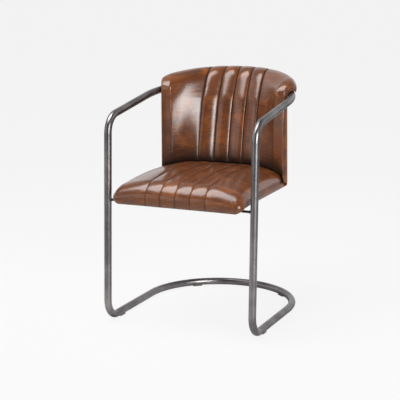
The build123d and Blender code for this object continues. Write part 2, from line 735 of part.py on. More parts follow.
def make_back(loop, bracket_screws_made):
    fills = []
    bolts, holes = bow_fixings()
    for number, places in enumerate(back_strips()):
        strip = loft_wires([back_ribbon(station, crown) for station, crown in places]).cut(*holes)
        fill = loft_wires([back_fill(station, crown) for station, crown in places])
        fills += [fill, mirrored(fill)]
        word = STRIP_WORDS[number]
        save(f"back_{word}_right", strip)
        save(f"back_{word}_left", mirrored(strip))
    border = back_border()
    save("back_border_right", border)
    save("back_border_left", mirrored(border))
    save("bow_bolts", *bolts)
    head = BOW_R + TUBE_R + WASHER_UNDER
    washers = [
        radial_cylinder(angle, WASHER_D / 2, BOW_R, head).cut(*loop.values(), *holes) for angle in BOLT_ANGLES
    ]
    save("bow_washers", *washers)
    cover = rear_strips(0, LEATHER, -SOFT_GAP, WING_END)
    save("back_outer_cover", cover.cut(*holes))
    board = rear_strips(LEATHER + SOFT_GAP, BACK_BOARD, BOARD_OVER_TUBE, WING_START)
    plug_start = BOW_R - TUBE_R - 2 * REAR_LAYERS
    plugs = [radial_cylinder(angle, INSERT_D / 2, plug_start, BOW_R) for angle in BOLT_ANGLES]
    save("bow_inserts", *[(board & plug).cut(*holes) for plug in plugs])
    save("back_board", board.cut(*plugs, *bracket_screws_made))
    angle_right = bracket(BRACKET_WIDTH, BRACKET_THICKNESS, BRACKET_RISE)
    for shape, word in ((angle_right, "right"), (mirrored(angle_right), "left")):
        save(f"back_bracket_{word}", shape.cut(*bracket_screws_made))
    save("bracket_screws", *bracket_screws_made)
    pocket_depth = BRACKET_THICKNESS + SCREW_HEAD + 2 * POCKET_ROOM
    pocket = bracket(BRACKET_WIDTH + 2 * POCKET_ROOM, pocket_depth, BRACKET_RISE + POCKET_ROOM)
    save("back_foam", joined(fills).cut(pocket, mirrored(pocket)))


os.makedirs("parts", exist_ok=True)
tubes = make_loop()
make_rod()
back_screws = make_seat_base(make_seat())
make_back(tubes, back_screws)
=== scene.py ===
"""Leather dining chair: the looks of a tubular steel cantilever chair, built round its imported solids.

Sizes are in millimetres unless a comment says metres. Depths are measured from the line between the feet of
the legs, as in the part's source, and a mesh is moved to the row frame and to metres when it is made.
"""
import json
import math

import bmesh
import bpy
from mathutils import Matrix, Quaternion, Vector


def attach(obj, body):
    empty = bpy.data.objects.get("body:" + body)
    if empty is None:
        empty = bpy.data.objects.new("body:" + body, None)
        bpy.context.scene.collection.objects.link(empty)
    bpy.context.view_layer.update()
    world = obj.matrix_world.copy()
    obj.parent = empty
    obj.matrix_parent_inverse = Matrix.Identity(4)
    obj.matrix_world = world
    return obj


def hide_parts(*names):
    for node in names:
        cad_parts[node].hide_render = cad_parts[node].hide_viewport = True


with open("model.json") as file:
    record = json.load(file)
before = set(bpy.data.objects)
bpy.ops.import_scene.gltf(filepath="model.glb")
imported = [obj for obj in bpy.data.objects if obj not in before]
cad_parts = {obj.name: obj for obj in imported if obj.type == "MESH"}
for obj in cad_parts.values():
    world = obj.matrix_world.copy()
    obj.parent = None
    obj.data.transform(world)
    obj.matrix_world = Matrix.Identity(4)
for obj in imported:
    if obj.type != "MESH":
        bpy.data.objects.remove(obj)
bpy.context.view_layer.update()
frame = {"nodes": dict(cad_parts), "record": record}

# Steel loop that the upholstery follows
TUBE_R = 12.0
BOW_R = 250.0
BOW_Y = 298.3
BOW_Z = 706.2
SLOPE = math.radians(8.17)
CENTRE_Y = 279.9

# Leather, its seams and the channels between them
LEATHER = 2.0
CLEAR = 0.8
SEAM_PITCH = 50.5
SEAMS_EACH_SIDE = 2
SEAM_OUTER = SEAMS_EACH_SIDE * SEAM_PITCH
CROWN_POWER = 2.5
GROOVE_WIDTH = 1.5
GROOVE_SHARE = 0.2
PUCKER = 0.22
PUCKER_PITCH = 9.0
PUCKER_REACH = 9.0
SLOW_PUCKER_SHARE = 0.6
SLOW_PUCKER_PITCH = 1.7 * PUCKER_PITCH

# Painted shade in the seams' valleys and in the crease between seat and back, from 0 for plain leather to 1
SEAM_SHADE_WIDTH = 1.7
SEAT_SEAM_SHADE = 0.65
BACK_SEAM_SHADE = 0.9
CREASE_SHADE = 0.95
SEAT_CREASE_START = 75.0
SEAT_CREASE_END = 45.0
BACK_CREASE_REACH = 75.0

# Seat
SEAT_HALF = 221.0
SEAT_CROWN = 3.0
CORNER_ROUND = 22.0
CORNER_X = SEAT_HALF - CORNER_ROUND
SEAT_TAPER = 5.0
NOSE_Y = -23.0
NOSE_BOTTOM = 398.0
SHOULDER_Y = 41.0
SEAT_PEAK = 486.0
SEAT_PEAK_Y = 228.0
SEAT_TOP_RADIUS = 1600.0
SIDE_FALL = 23.0
SIDE_FALL_POWER = 1.5
EDGE_ROUND = 26.0
EDGE_FALL = 24.0
EDGE_LIFT = 9.0
TURN_IN = 27.0
SEAT_SIDE_BULGE = 1.0
REAR_ROUND = 18.0
REAR_CORNER = 68.0
REAR_GAP = 4.0
BOARD_BOTTOM = 409.0
BOARD_TOP = 421.0
BOARD_HALF = 198.0
BOARD_CLEAR = 1.0

# Shape of the seat's nose: insets from its front in millimetres, heights and bends as shares
HEEL_INSET = 12.0
BALL_INSET = 3.6
BALL_HEIGHT = 0.045
TOE_HEIGHT = 0.15
BROW_HEIGHT = 0.45
NOSE_BEND_DEPTH = 0.27
NOSE_BEND_HEIGHT = 0.6
REAR_BEND = 0.3

# Back, with its front and its rear on the centre line and the radii of its wings from the bow's axis
BACK_CROWN = 7.5
ROLL_CROWN = 0.2
FRONT_FOOT = 410.0
FRONT_WAIST = (428.0, 587.0)
FRONT_SHOULDER = (452.0, 686.2)
FRONT_DROP = 26.0
WAIST_BULGE = 4.0
REAR_FOOT = 458.0
REAR_SHOULDER = 500.0
REAR_DROP = 15.0
REAR_LAYERS = 14.6
BOARD_REACH = 158.0
WING_INNER = 193.0
WING_OUTER = 237.0
WING_CUT = 25.0
WING_REACH = 175.0
WING_FOOT_LIFT = 20.0
FOOT_FLARE = 4.0
PRESS = 1.0
CAP_BULGE = 2.5

# Wing ends: bends are shares of the bevel's width, ranges are stations along the back
WING_NOSE = 33.0
NOSE_BEVEL = 28.0
FOLD_BEND = 0.15
ROLL_FOLD_BEND = 0.45
NOSE_TOP_ROUND = 12.0
NOSE_REAR_ROUND = 4.0
WING_THINNING = 4.0
THINNING_RANGE = (1.3, 3.0)
WING_TOP_FALL = 5.0
TOP_FALL_RANGE = (1.0, 2.6)

# Roll over the bow: offsets outwards from the tube's centre line and lifts above it
ROLL_FRONT = (-57.0, 16.7)
ROLL_BEND = (-34.6, 42.0)
ROLL_TOP = (-3.0, 51.2)
ROLL_BACK = (12.6, 44.3)
ROLL_REAR = (19.0, 27.5)
LIP = (19.5, 16.0)
LIP_END = (14.0, 6.5)
HOLLOW_R = 14.5
TUBE_GAP = 0.8
ROLL_BEND_SHARE = 0.5
ROLL_TOP_SHARE = 0.25

# Rear cover
COVER_LIFT = 14.0
COVER_END = 0.86
COVER_HEM = 11.0

# Dust cloth, staples and hems under the seat
CLOTH = 0.8
CLOTH_GAP = 0.1
CLOTH_FRONT = 56.7
CLOTH_REAR = 366.5
CLOTH_HALF = 174.0
CLOTH_SAG = 1.2
CLOTH_GRID = (32, 28)
HEM_LAP = 12.0
HEM_WRAP = 2.0
HEM_FRONT = 8.0
HEM_REAR = 392.0
HEM_EASE = 0.6
STAPLE = (9.0, 1.3, 0.6)
STAPLE_PITCH = 52.0
STAPLE_INSET = 6.0
STAPLE_EASE = 0.2

# Places of sections: distances from a seam, the outer seam and the board's side, and stations along the back
NOSE_START = 2
LAST_STATION = 3
SEAM_STEPS = (0.0, 0.7, 1.6, 3.2, 6.0, 10.5, 17.0)
PANEL_STEPS = (25.0, 36.0, 49.0, 62.0, 74.0, 84.0)
EDGE_STEPS = 9
BOARD_SIDE_STEPS = (-0.1, 0.3)
WING_STATIONS = (1.25, 1.37, 1.5, 1.62, 1.74, 1.86, 1.95, 2.0, 2.04, 2.08, 2.11, 2.22)
NOSE_STEPS = 10
BOARD_END_STEP = 0.02
COVER_END_STEP = 0.006
COVER_STEPS = 6

# Counts of points along the seat's path, and the points between which its channels rise and fade
TURN_IN_POINTS = 4
HEEL_POINTS = 6
TOE_POINTS = 5
BROW_POINTS = 14
TOP_POINTS = 44
REAR_POINTS = 7
REAR_SIDE_POINTS = 6
RISE_POINTS = 4
SEAT_SOFTENING = 3
SEAT_CROWN_START = 8
SEAT_SHOULDER = TURN_IN_POINTS + HEEL_POINTS + TOE_POINTS + BROW_POINTS
SEAT_REAR_EDGE = SEAT_SHOULDER + TOP_POINTS
SEAT_CROWN_FADE = SEAT_REAR_EDGE - 6

# Counts of points along the back's path and along its way back, and where its channels rise and fade
FRONT_POINTS = 30
NECK_POINTS = 12
ROLL_POINTS = 14
ROLL_BACK_POINTS = 12
LIP_POINTS = 12
UNDER_POINTS = 2
BOARD_POINTS = 26
BOARD_TOP_POINTS = 8
TUBE_SIDE_POINTS = 4
HOLLOW_POINTS = 38
BACK_SOFTENING = 8
BACK_CROWN_RISE = (-1, 3)
ROLL_CROWN_START = FRONT_POINTS + NECK_POINTS + 2
ROLL_FADE_START = FRONT_POINTS + NECK_POINTS + ROLL_POINTS - 1
ROLL_CROWN_END = ROLL_FADE_START + 2
ROLL_FADE_END = FRONT_POINTS + NECK_POINTS + ROLL_POINTS + ROLL_BACK_POINTS

# Counts of points down the rear cover, and of columns across the end of a cushion
COVER_TOP_POINTS = 6
COVER_FACE_POINTS = 30
HEM_POINTS = 6
COVER_SOFTENING = 2
CAP_COLUMNS = 4
CAP_BULGE_LIMIT = 0.25

# Cross product below which three points count as a line, and steps of a search by halves
NEARLY_STRAIGHT = 1e-3
BISECTIONS = 30

# How far the steel's roughness varies either way
STEEL_GLOSS_SPREAD = 0.03

# Sockets of the mix node when it mixes colours
COLOUR_A = 6
COLOUR_B = 7
COLOUR_OUT = 2

# Floor and surround, with sizes in metres
FLOOR_SIZE = 400.0
FLOOR_GLOW_SHARE = 0.92
FLOOR_GLOW = 1.025
LEFT_GLOW_WAY = (-0.95, -0.3, -0.05)

# Camera that took the photo, with places in metres
CAMERA_PLACE = (1.5516, -3.6442, 1.1923)
CAMERA_AIM = (0.0, -0.0299, 0.414)
CAMERA_SENSOR = 36.0
CAMERA_LENS = 109.95
CAMERA_SHIFT = (-0.0234, -0.0270)


# Shared shapes

def to_row(point):
    """Place in the row frame, in metres, of a point in millimetres."""
    return Vector((point.x, point.y - CENTRE_Y, point.z)) / 1000


def side_of(value):
    return -1 if value < 0 else 1


def clamped(share):
    return min(max(share, 0.0), 1.0)


def mirrored(half):
    """Stations of both sides in order, made from those of the right side, which start at 0."""
    half = sorted(set(half))
    return [-value for value in half[:0:-1]] + half


def arc_points(a, m, b, count):
    """Points from a through m towards b on the arc through all three, without b itself."""
    u, v = m - a, b - a
    w = u.cross(v)
    if w.length < NEARLY_STRAIGHT:
        return line_points(a, b, count)
    offset = (u.length_squared * v.cross(w) + v.length_squared * w.cross(u)) / (2 * w.length_squared)
    centre = a + offset
    axis = w.normalized()
    start, end = a - centre, b - centre
    sweep = math.atan2(axis.dot(start.cross(end)), start.dot(end)) % (2 * math.pi)
    return [centre + Quaternion(axis, sweep * n / count) @ start for n in range(count)]


def line_points(a, b, count):
    """Points from a towards b, without b itself."""
    return [a.lerp(b, n / count) for n in range(count)]


def softened(path, passes):
    """The same path with its kinks eased, its ends kept."""
    for _ in range(passes):
        inner = [(p + 2 * q + r) / 4 for p, q, r in zip(path, path[1:], path[2:])]
        path = [path[0], *inner, path[-1]]
    return path


def rounded(share):
    """Profile of a quarter round, level at 0 and upright at 1."""
    return 1 - math.sqrt(1 - clamped(share) ** 2)


def bevelled(share, bend):
    """Profile of a flat bevel that leaves the face before it in a bend over the first part of its width."""
    share = clamped(share)
    if share < bend:
        depth = share ** 2 / (2 * bend)
    else:
        depth = share - bend / 2
    return depth / (1 - bend / 2)


def eased(value, start, end):
    """0 before start, 1 after end and a smooth step between them."""
    share = clamped((value - start) / (end - start))
    return share * share * (3 - 2 * share)


def falling(distance, width):
    """1 at no distance, fading to 0 over a few widths."""
    return math.exp(-(distance / width) ** 2)


def seam_distance(x):
    """Distance across the hide from the nearest of the five seams."""
    nearest = min(max(round(x / SEAM_PITCH), -SEAMS_EACH_SIDE), SEAMS_EACH_SIDE)
    return abs(x - nearest * SEAM_PITCH)


def channel_crown(x, panel_share, height):
    """How far the cover stands proud of its seams: full over a channel, fading out over the wide panel."""
    distance = seam_distance(x)
    from_middle = 1 - distance / (SEAM_PITCH / 2)
    if abs(x) < SEAM_OUTER:
        swell = 1 - abs(from_middle) ** CROWN_POWER
    else:
        start = 1 - max(from_middle, 0.0) ** CROWN_POWER
        swell = start * math.cos(math.pi / 2 * clamped(panel_share))
    return height * (swell - GROOVE_SHARE * falling(distance, GROOVE_WIDTH))


def pucker(distance, along):
    """Small gathers that the thread draws into the leather beside a seam."""
    fade = falling(distance, PUCKER_REACH) * (1 - falling(distance, GROOVE_WIDTH))
    turn = 2 * math.pi * along
    wave = math.sin(turn / PUCKER_PITCH) + SLOW_PUCKER_SHARE * math.sin(turn / SLOW_PUCKER_PITCH)
    return PUCKER * fade * wave


def proud(path, normal_side, amounts):
    """The path moved outwards, square to itself in its own plane, by an amount for each point."""
    moved = []
    for n, point in enumerate(path):
        before, after = path[max(n - 1, 0)], path[min(n + 1, len(path) - 1)]
        outward = (after - before).cross(normal_side).normalized()
        moved.append(point + outward * amounts[n])
    return moved


def lengths_along(path):
    """Length of the path up to each of its points."""
    total = [0.0]
    for a, b in zip(path, path[1:]):
        total.append(total[-1] + (b - a).length)
    return total


def upholstered_mesh(name, sections, shades, across, cap_bulge):
    """A closed padded form lofted through sections, each an outer and an inner path of the same length.

    Both ends are capped by ladders of faces. The shade attribute holds painted shade: it is high in a seam's
    valley and in a crease where shade falls. The UV map runs across the hide and along it, in metres.
    """
    form = bmesh.new()
    shade_layer = form.verts.layers.float.new("shade")
    uv_layer = form.loops.layers.uv.new("hide")
    rings, places = [], {}
    for (outer, inner), shade, reach in zip(sections, shades, across):
        ring = []
        loop = outer + inner[-2:0:-1]
        for n, (point, along) in enumerate(zip(loop, lengths_along(loop))):
            vert = form.verts.new(to_row(point))
            vert[shade_layer] = shade[n] if n < len(outer) else 0.0
            places[vert] = (reach / 1000, along / 1000)
            ring.append(vert)
        rings.append(ring)
    for left, right in zip(rings, rings[1:]):
        for n in range(len(left)):
            after = (n + 1) % len(left)
            form.faces.new((left[n], left[after], right[after], right[n]))
    for end, turn in ((0, -1), (-1, 1)):
        cap_ladder(form, rings[end], *sections[end], turn, cap_bulge, places)
    bmesh.ops.recalc_face_normals(form, faces=form.faces)
    for face in form.faces:
        for loop in face.loops:
            loop[uv_layer].uv = places[loop.vert]
    mesh = bpy.data.meshes.new(name)
    form.to_mesh(mesh)
    form.free()
    mesh.polygons.foreach_set("use_smooth", [True] * len(mesh.polygons))
    piece = bpy.data.objects.new(name, mesh)
    bpy.context.scene.collection.objects.link(piece)
    return piece


def cap_ladder(form, ring, outer, inner, turn, bulge, places):
    """Closes one end with rungs between the outer and inner paths, slightly crowned."""
    count = len(outer)
    third = count // 3
    edge_normal = (outer[third] - outer[0]).cross(inner[third] - outer[0]).normalized()
    if edge_normal.x * turn < 0:
        edge_normal = -edge_normal
    columns = [ring[:count]]
    for step in range(1, CAP_COLUMNS):
        share = step / CAP_COLUMNS
        crown = 4 * share * (1 - share)
        column = [ring[0]]
        for n in range(1, count - 1):
            rung = (outer[n] - inner[n]).length
            lift = min(bulge, CAP_BULGE_LIMIT * rung) * crown
            vert = form.verts.new(to_row(outer[n].lerp(inner[n], share) + edge_normal * lift))
            across, along = places[ring[n]]
            places[vert] = (across + turn * share * rung / 1000, along)
            column.append(vert)
        columns.append(column + [ring[count - 1]])
    columns.append([ring[0]] + ring[:count - 1:-1] + [ring[count - 1]])
    for a, b in zip(columns, columns[1:]):
        for n in range(count - 1):
            corners = [a[n], a[n + 1], b[n + 1], b[n]]
            form.faces.new([vert for k, vert in enumerate(corners) if vert not in corners[:k]])


# Seat cushion

def seat_top(x, y):
    """Height of the seat before its channels are raised."""
    out = max(abs(x) - SEAM_OUTER, 0) / (SEAT_HALF - SEAM_OUTER)
    edge = rounded((abs(x) - SEAT_HALF + EDGE_ROUND) / EDGE_ROUND)
    fall = SIDE_FALL * out ** SIDE_FALL_POWER + EDGE_FALL * edge
    return SEAT_PEAK - (y - SEAT_PEAK_Y) ** 2 / (2 * SEAT_TOP_RADIUS) - fall


def seat_rear(x):
    """Rear edge of the seat: clear of the back's board, and out to the rear leather at the corners."""
    inset = LEATHER + (REAR_LAYERS + REAR_GAP) * (1 - eased(abs(x), SEAT_HALF - REAR_CORNER, SEAT_HALF))
    low, high = 0, LAST_STATION
    for _ in range(BISECTIONS):
        middle = (low + high) / 2
        if rear_spread(middle, REAR_FOOT, inset)[0] < abs(x):
            low = middle
        else:
            high = middle
    return rear_spread(low, REAR_FOOT, inset)[1]


def seat_section(x):
    """Outer path from under the nose over the top to the rear foot, and the path back over the board."""
    reach = abs(x)
    edge_share = max(reach - CORNER_X, 0) / CORNER_ROUND
    corner = rounded(edge_share)
    front = NOSE_Y + CORNER_ROUND * corner
    under = BOARD_BOTTOM - LEATHER + EDGE_LIFT * edge_share
    bottom = NOSE_BOTTOM + (under - NOSE_BOTTOM) * math.sqrt(corner)
    rear = seat_rear(x)
    narrowing = SEAT_TAPER * max(reach - SEAM_OUTER, 0) / (SEAT_HALF - SEAM_OUTER)

    def place(y, z):
        return Vector((side_of(x) * (reach - narrowing * y / REAR_FOOT), y, z))

    shoulder_y = SHOULDER_Y + front - NOSE_Y
    height = seat_top(x, shoulder_y) - bottom
    turn_in = place(front + TURN_IN, under)
    heel = place(front + HEEL_INSET, bottom)
    ball = place(front + BALL_INSET, bottom + BALL_HEIGHT * height)
    toe = place(front, bottom + TOE_HEIGHT * height)
    brow = place(front, bottom + BROW_HEIGHT * height)
    shoulder = place(shoulder_y, bottom + height)
    bend_z = brow.z + NOSE_BEND_HEIGHT * (shoulder.z - brow.z)
    bend = place(front + NOSE_BEND_DEPTH * (shoulder_y - front), bend_z)
    middle = place(SEAT_PEAK_Y, seat_top(x, SEAT_PEAK_Y))
    rear_edge = place(rear - REAR_ROUND, seat_top(x, rear - REAR_ROUND))
    drop = min(REAR_ROUND, (rear_edge.z - under) / 2)
    rear_bend = place(rear - REAR_BEND * REAR_ROUND, rear_edge.z - REAR_BEND * drop)
    rear_side = place(rear, rear_edge.z - drop)
    rear_foot = place(rear, under + LEATHER + CLEAR)
    path = line_points(turn_in, heel, TURN_IN_POINTS)
    path += arc_points(heel, ball, toe, HEEL_POINTS)
    path += line_points(toe, brow, TOE_POINTS)
    path += arc_points(brow, bend, shoulder, BROW_POINTS)
    path += arc_points(shoulder, middle, rear_edge, TOP_POINTS)
    path += arc_points(rear_edge, rear_bend, rear_side, REAR_POINTS)
    path += line_points(rear_side, rear_foot, REAR_SIDE_POINTS)
    path = softened(path + [rear_foot], SEAT_SOFTENING)
    over_board = BOARD_TOP + BOARD_CLEAR if reach < BOARD_HALF + BOARD_CLEAR else under + CLEAR
    rise = place(front + TURN_IN, over_board)
    back = place(rear - CLEAR, over_board)
    inner = line_points(turn_in, rise, RISE_POINTS)
    inner += line_points(rise, back, len(path) - 1 - 2 * RISE_POINTS)
    inner += line_points(back, rear_foot, RISE_POINTS)
    return path, inner + [rear_foot]


def seat_stations():
    """Places across X of the seat's sections, close together beside seams, edges and the board's side."""
    half = [n * SEAM_PITCH + step for n in range(SEAMS_EACH_SIDE) for step in SEAM_STEPS]
    half += [n * SEAM_PITCH - step for n in range(1, SEAMS_EACH_SIDE + 1) for step in SEAM_STEPS[1:]]
    half += [n * SEAM_PITCH + SEAM_PITCH / 2 for n in range(SEAMS_EACH_SIDE)]
    half += [SEAM_OUTER + step for step in (*SEAM_STEPS, *PANEL_STEPS)]
    half += [BOARD_HALF + BOARD_CLEAR + step for step in BOARD_SIDE_STEPS]
    edge = SEAT_HALF - EDGE_ROUND
    half += [edge + EDGE_ROUND * math.sin(math.pi / 2 * n / EDGE_STEPS) for n in range(EDGE_STEPS + 1)]
    return mirrored(half)


def seat_cushion():
    sections, shades, stations = [], [], seat_stations()
    for x in stations:
        outer, inner = seat_section(x)
        panel_share = max(abs(x) - SEAM_OUTER, 0) / (SEAT_HALF - EDGE_ROUND / 2 - SEAM_OUTER)
        crown = channel_crown(x, panel_share, SEAT_CROWN)
        distance = seam_distance(x)
        # Painted shade in the seam's valley
        valley = SEAT_SEAM_SHADE * falling(distance, SEAM_SHADE_WIDTH)
        rear = seat_rear(x)
        amounts, shade = [], []
        for n, run in enumerate(lengths_along(outer)):
            rise = eased(n, SEAT_CROWN_START, SEAT_SHOULDER)
            fade = eased(n, SEAT_CROWN_FADE, SEAT_REAR_EDGE)
            amounts.append(rise * (1 - fade) * (crown + pucker(distance, run)))
            # Painted shade in the crease where the seat runs under the back
            crease = CREASE_SHADE * eased(outer[n].y, rear - SEAT_CREASE_START, rear - SEAT_CREASE_END)
            shade.append(max(valley, crease))
        sections.append((proud(outer, Vector((-1, 0, 0)), amounts), inner))
        shades.append(shade)
    return upholstered_mesh("seat_cushion", sections, shades, stations, SEAT_SIDE_BULGE)


# Back cushion and its rear cover

def station_plane(station):
    """Turn of a station's upright plane and its distance from the bow's axis.

    Stations 0 to 1 are across the channels, 1 to 2 across the wing and 2 to 3 round the wing's nose.
    """
    reach = abs(station)
    share = clamped(reach - 1)
    wing = WING_REACH - WING_NOSE - SEAM_OUTER
    distance = SEAM_OUTER * min(reach, 1) + wing * share + WING_NOSE * max(reach - NOSE_START, 0)
    return math.radians(WING_CUT * share), distance


def plan_place(station, radius):
    """Plan place on a station's plane at a radius from the bow's axis, with the tube's height there."""
    turn, distance = station_plane(station)
    angle = turn + math.asin(distance / radius)
    along = radius * math.cos(angle)
    tube = BOW_Z + BOW_R * math.cos(angle) * math.sin(SLOPE)
    return side_of(station) * radius * math.sin(angle), BOW_Y + along * math.cos(SLOPE), tube


def spread(station, depth, wing_radius, drop, full=False):
    """Plan place of a point that is at depth on the centre line and at wing_radius on the wings."""
    reach = abs(station)
    if reach <= 1:
        return side_of(station) * reach * SEAM_OUTER, depth - drop * reach ** 2
    start = math.hypot(SEAM_OUTER, (depth - drop - BOW_Y) / math.cos(SLOPE))
    share = min(reach - 1, 1)
    if full:
        share = math.sin(share * math.pi / 2)
    return plan_place(station, start + (wing_radius - start) * share)[:2]


def rear_spread(station, depth, inset):
    """Plan place at an inset from the rear leather, whose wings open slightly towards the seat."""
    nose = NOSE_REAR_ROUND * rounded(abs(station) - NOSE_START)
    flare = FOOT_FLARE * (REAR_SHOULDER - depth) / (REAR_SHOULDER - REAR_FOOT)
    return spread(station, depth - inset, WING_OUTER + flare - inset - nose, REAR_DROP, full=True)


def on_bow(station, offset, lift):
    """Place at an offset outwards from the bow's centre line and a lift above it."""
    x, y, tube = plan_place(station, BOW_R + offset)
    return Vector((x, y, tube + lift))


def on_seat(point):
    """The place over or beside the seat where the back's padding rests on it."""
    rest = max(seat_top(point.x, point.y) - PRESS, BOARD_BOTTOM + WING_FOOT_LIFT)
    return Vector((point.x, point.y, rest))


def rear_inset(station):
    """Inset of the padding from the rear leather, where it lies on the board, the cover or neither."""
    if station_plane(station)[1] <= BOARD_REACH:
        return REAR_LAYERS + CLEAR + FOOT_FLARE
    if abs(station) < NOSE_START + COVER_END:
        return LEATHER + CLEAR
    return CLEAR / 2


def back_section(station):
    """Outer path from the foot up the front and over the roll, and the path back by the tube's hollow."""
    reach = abs(station)
    end = rounded(reach - NOSE_START)
    thinning = WING_THINNING * eased(reach, *THINNING_RANGE)
    nose = NOSE_BEVEL * bevelled(reach - NOSE_START, FOLD_BEND) + thinning
    roll_nose = NOSE_BEVEL * bevelled(reach - NOSE_START, ROLL_FOLD_BEND) + thinning
    lower = NOSE_TOP_ROUND * end + WING_TOP_FALL * eased(reach, *TOP_FALL_RANGE)
    slant = NOSE_REAR_ROUND * end

    def front(depth, height, bulge=0.0):
        x, y = spread(station, depth, WING_INNER - bulge + nose, FRONT_DROP)
        return Vector((x, y, height))

    foot = on_seat(front(FRONT_FOOT, 0))
    waist = front(*FRONT_WAIST, WAIST_BULGE)
    shoulder = front(*FRONT_SHOULDER)
    roll_front = on_bow(station, ROLL_FRONT[0] + roll_nose, ROLL_FRONT[1])
    roll_bend = on_bow(station, ROLL_BEND[0] + roll_nose * ROLL_BEND_SHARE, ROLL_BEND[1] - lower)
    roll_top = on_bow(station, ROLL_TOP[0] + roll_nose * ROLL_TOP_SHARE, ROLL_TOP[1] - lower)
    roll_back = on_bow(station, ROLL_BACK[0] - slant, ROLL_BACK[1] - lower)
    roll_rear = on_bow(station, ROLL_REAR[0] - slant, ROLL_REAR[1] - slant)
    lip = on_bow(station, LIP[0] - slant, LIP[1])
    lip_end = on_bow(station, *LIP_END)
    path = arc_points(foot, waist, shoulder, FRONT_POINTS)
    path += line_points(shoulder, roll_front, NECK_POINTS)
    path += arc_points(roll_front, roll_bend, roll_top, ROLL_POINTS)
    path += arc_points(roll_top, roll_back, roll_rear, ROLL_BACK_POINTS)
    path += arc_points(roll_rear, lip, lip_end, LIP_POINTS)
    path = softened(path + [lip_end], BACK_SOFTENING)

    inset = rear_inset(station)
    over_tube = on_bow(station, 0, HOLLOW_R)
    beside_tube = on_bow(station, -TUBE_R - TUBE_GAP, 0)
    high = on_bow(station, -TUBE_R - TUBE_GAP - inset, -CLEAR)
    middle = Vector((*rear_spread(station, REAR_SHOULDER, inset), FRONT_SHOULDER[1]))
    low = Vector((*rear_spread(station, REAR_FOOT, inset), BOARD_BOTTOM))
    heel = low.lerp(middle, (on_seat(low).z - low.z) / (middle.z - low.z))
    under = on_seat((foot + heel) / 2)
    inner = line_points(foot, under, UNDER_POINTS) + line_points(under, heel, UNDER_POINTS)
    inner += line_points(heel, middle, BOARD_POINTS)
    inner += line_points(middle, high, BOARD_TOP_POINTS)
    inner += line_points(high, beside_tube, TUBE_SIDE_POINTS)
    hollow = arc_points(lip_end, over_tube, beside_tube, HOLLOW_POINTS) + [beside_tube]
    return path, inner + hollow[::-1]


def back_stations():
    """Stations of the back's sections, close together at seams, folds and the ends of board and cover."""
    steps = [step / SEAM_OUTER for step in SEAM_STEPS]
    pitch = SEAM_PITCH / SEAM_OUTER
    half = [n * pitch + step for n in range(SEAMS_EACH_SIDE + 1) for step in steps]
    half += [n * pitch - step for n in range(1, SEAMS_EACH_SIDE + 1) for step in steps[1:]]
    half += [n * pitch + pitch / 2 for n in range(SEAMS_EACH_SIDE)]
    half += WING_STATIONS
    half += [NOSE_START + math.sin(math.pi / 2 * n / NOSE_STEPS) for n in range(1, NOSE_STEPS + 1)]
    board_end = LAST_STATION - (WING_REACH - BOARD_REACH) / WING_NOSE
    half += [board_end, board_end + BOARD_END_STEP]
    cover_end = NOSE_START + COVER_END
    half += [cover_end - COVER_END_STEP, cover_end + COVER_END_STEP]
    return mirrored(half)


def back_cushion():
    sections, shades, across = [], [], []
    for station in back_stations():
        outer, inner = back_section(station)
        turn, seam_x = station_plane(station)
        side = side_of(station)
        crown = channel_crown(seam_x, abs(station) - 1, BACK_CROWN)
        from_seam = seam_distance(seam_x)
        plane_normal = Vector((-math.cos(turn) * math.cos(SLOPE), side * math.sin(turn), 0)).normalized()
        # Painted shade in the seam's valley
        valley = BACK_SEAM_SHADE * falling(from_seam, SEAM_SHADE_WIDTH)
        amounts, shade = [], []
        for n, run in enumerate(lengths_along(outer)):
            # Painted shade in the seam's valley and in the crease at the back's foot, where it meets the
            # seat
            shade.append(max(valley, CREASE_SHADE * (1 - eased(run, 0, BACK_CREASE_REACH))))
            over_roll = 1 - (1 - ROLL_CROWN) * eased(n, ROLL_CROWN_START, ROLL_CROWN_END)
            fade = 1 - eased(n, ROLL_FADE_START, ROLL_FADE_END)
            ease = over_roll * eased(n, *BACK_CROWN_RISE) * fade
            amounts.append(ease * (crown + pucker(from_seam, run)))
        sections.append((proud(outer, plane_normal, amounts), inner))
        shades.append(shade)
        across.append(side * seam_x)
    return upholstered_mesh("back_cushion", sections, shades, across, CAP_BULGE)


def rear_cover_section(station):
    """Outer and inner paths of the leather over the back's board, from beside the tube down to its hem."""
    lift = COVER_LIFT * clamped(abs(station) - 1)
    paths = []
    for inset in (0.0, LEATHER):
        high = on_bow(station, -TUBE_R - TUBE_GAP - inset, -CLEAR)
        middle = Vector((*rear_spread(station, REAR_SHOULDER, inset), FRONT_SHOULDER[1]))
        low = Vector((*rear_spread(station, REAR_FOOT, inset), BOARD_BOTTOM + lift + inset - LEATHER))
        hem = Vector((*rear_spread(station, REAR_FOOT, COVER_HEM), low.z))
        path = line_points(high, middle, COVER_TOP_POINTS)
        path += line_points(middle, low, COVER_FACE_POINTS)
        path += line_points(low, hem, HEM_POINTS)
        paths.append(softened(path + [hem], COVER_SOFTENING))
    outer, inner = paths
    for end in (0, -1):
        outer[end] = inner[end] = outer[end].lerp(inner[end], 0.5)
    return outer, inner


def rear_cover():
    half = [n / COVER_STEPS for n in range(NOSE_START * COVER_STEPS + 1)]
    turns = [math.pi / 2 * n / COVER_STEPS for n in range(1, COVER_STEPS + 1)]
    half += [NOSE_START + COVER_END * math.sin(turn) for turn in turns]
    stations = mirrored(half)
    sections = [rear_cover_section(station) for station in stations]
    across = [side_of(station) * station_plane(station)[1] for station in stations]
    plain = [[0.0] * len(outer) for outer, _ in sections]
    return upholstered_mesh("back_rear_cover", sections, plain, across, 0.0)


# Materials

def colour(code):
    """Linear colour from an sRGB hex code."""
    parts = [int(code[n:n + 2], 16) / 255 for n in (1, 3, 5)]
    linear = [c / 12.92 if c <= 0.04045 else ((c + 0.055) / 1.055) ** 2.4 for c in parts]
    return (*linear, 1.0)


def per_metre(size_mm):
    """Texture scale for a pattern whose features are this large."""
    return 1000 / size_mm


